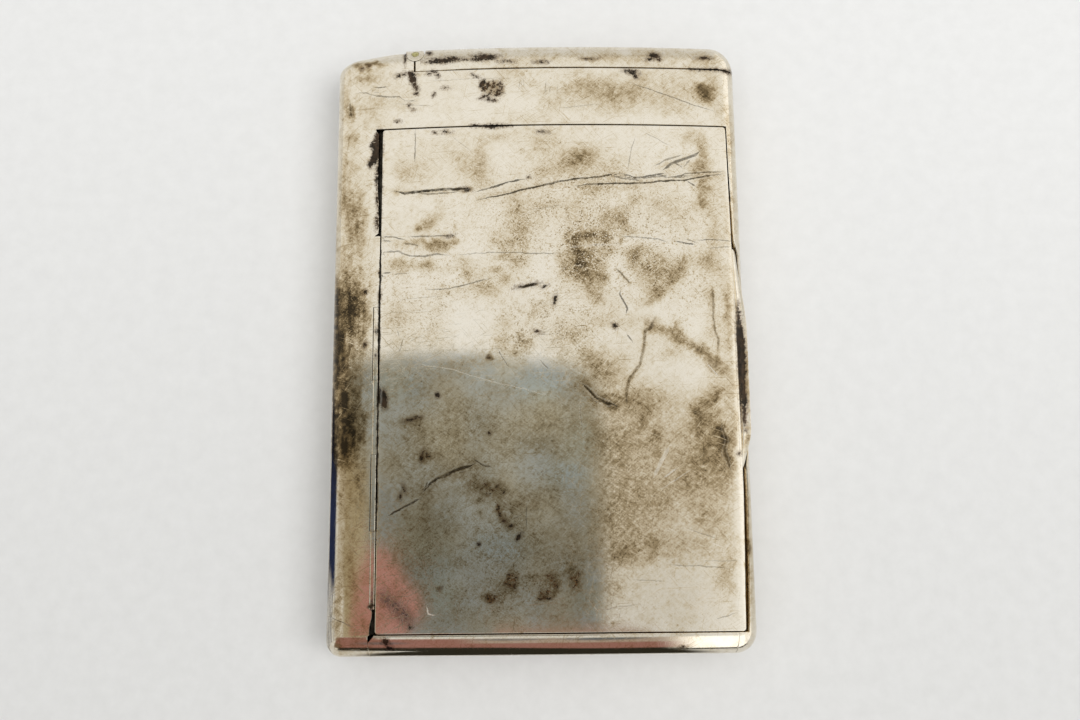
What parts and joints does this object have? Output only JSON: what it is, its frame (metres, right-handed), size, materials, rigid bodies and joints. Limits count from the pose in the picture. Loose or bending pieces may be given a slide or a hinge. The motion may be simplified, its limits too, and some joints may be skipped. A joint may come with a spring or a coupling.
{
  "type": "cigarette case",
  "caption": "Flat pocket case in tarnished silver with a crowned front, a hinged front lid with a thumb lift over the cigarette space, and a swinging end cap over a match space.",
  "frame": {"origin": "centre of the footprint on the back face, thumb lift included", "axes": "+Z out of the front face, +Y towards the capped end, +X towards the thumb lift"},
  "size_m": [0.0604, 0.09, 0.013],
  "materials": {
    "silver": "worn polished silver with brown tarnish and scratches",
    "gilt_inside": "worn gilt wash on silver",
    "steel": "spring steel, dull",
    "brass_pin": "dull brass"
  },
  "bodies": {
    "case": {"back_shell": "silver", "front_shell": "silver", "bottom_end_plate": "silver", "compartment_partition": "gilt_inside", "lid_seat_rim": "gilt_inside", "hinge_seat_strip": "silver", "body_knuckle_bottom": "silver", "body_knuckle_middle": "silver", "body_knuckle_top": "silver", "lid_hinge_pin": "steel", "catch_spring": "steel", "match_collar": "gilt_inside", "end_hinge_lug_front": "silver", "end_hinge_lug_back": "silver", "end_hinge_pin": "brass_pin", "end_lid_spring": "steel"},
    "front_lid": {"lid_panel": "silver", "thumb_lift": "silver", "lid_inner_frame": "gilt_inside", "lid_catch_tab": "gilt_inside", "lid_knuckle_lower": "silver", "lid_knuckle_upper": "silver"},
    "end_lid": {"end_lid_cap": "silver", "end_lid_knuckle": "silver"}
  },
  "joints": [
    {"name": "lid_hinge", "type": "hinge", "parent": "case", "child": "front_lid", "pos_m": [-0.02352, 0, 0.01145], "axis": [0, -1, 0], "range_deg": [0, 105]},
    {"name": "end_lid_hinge", "type": "hinge", "parent": "case", "child": "end_lid", "pos_m": [-0.0183, 0.04362, 0.0065], "axis": [0, 0, 1], "range_deg": [0, 90]}
  ]
}
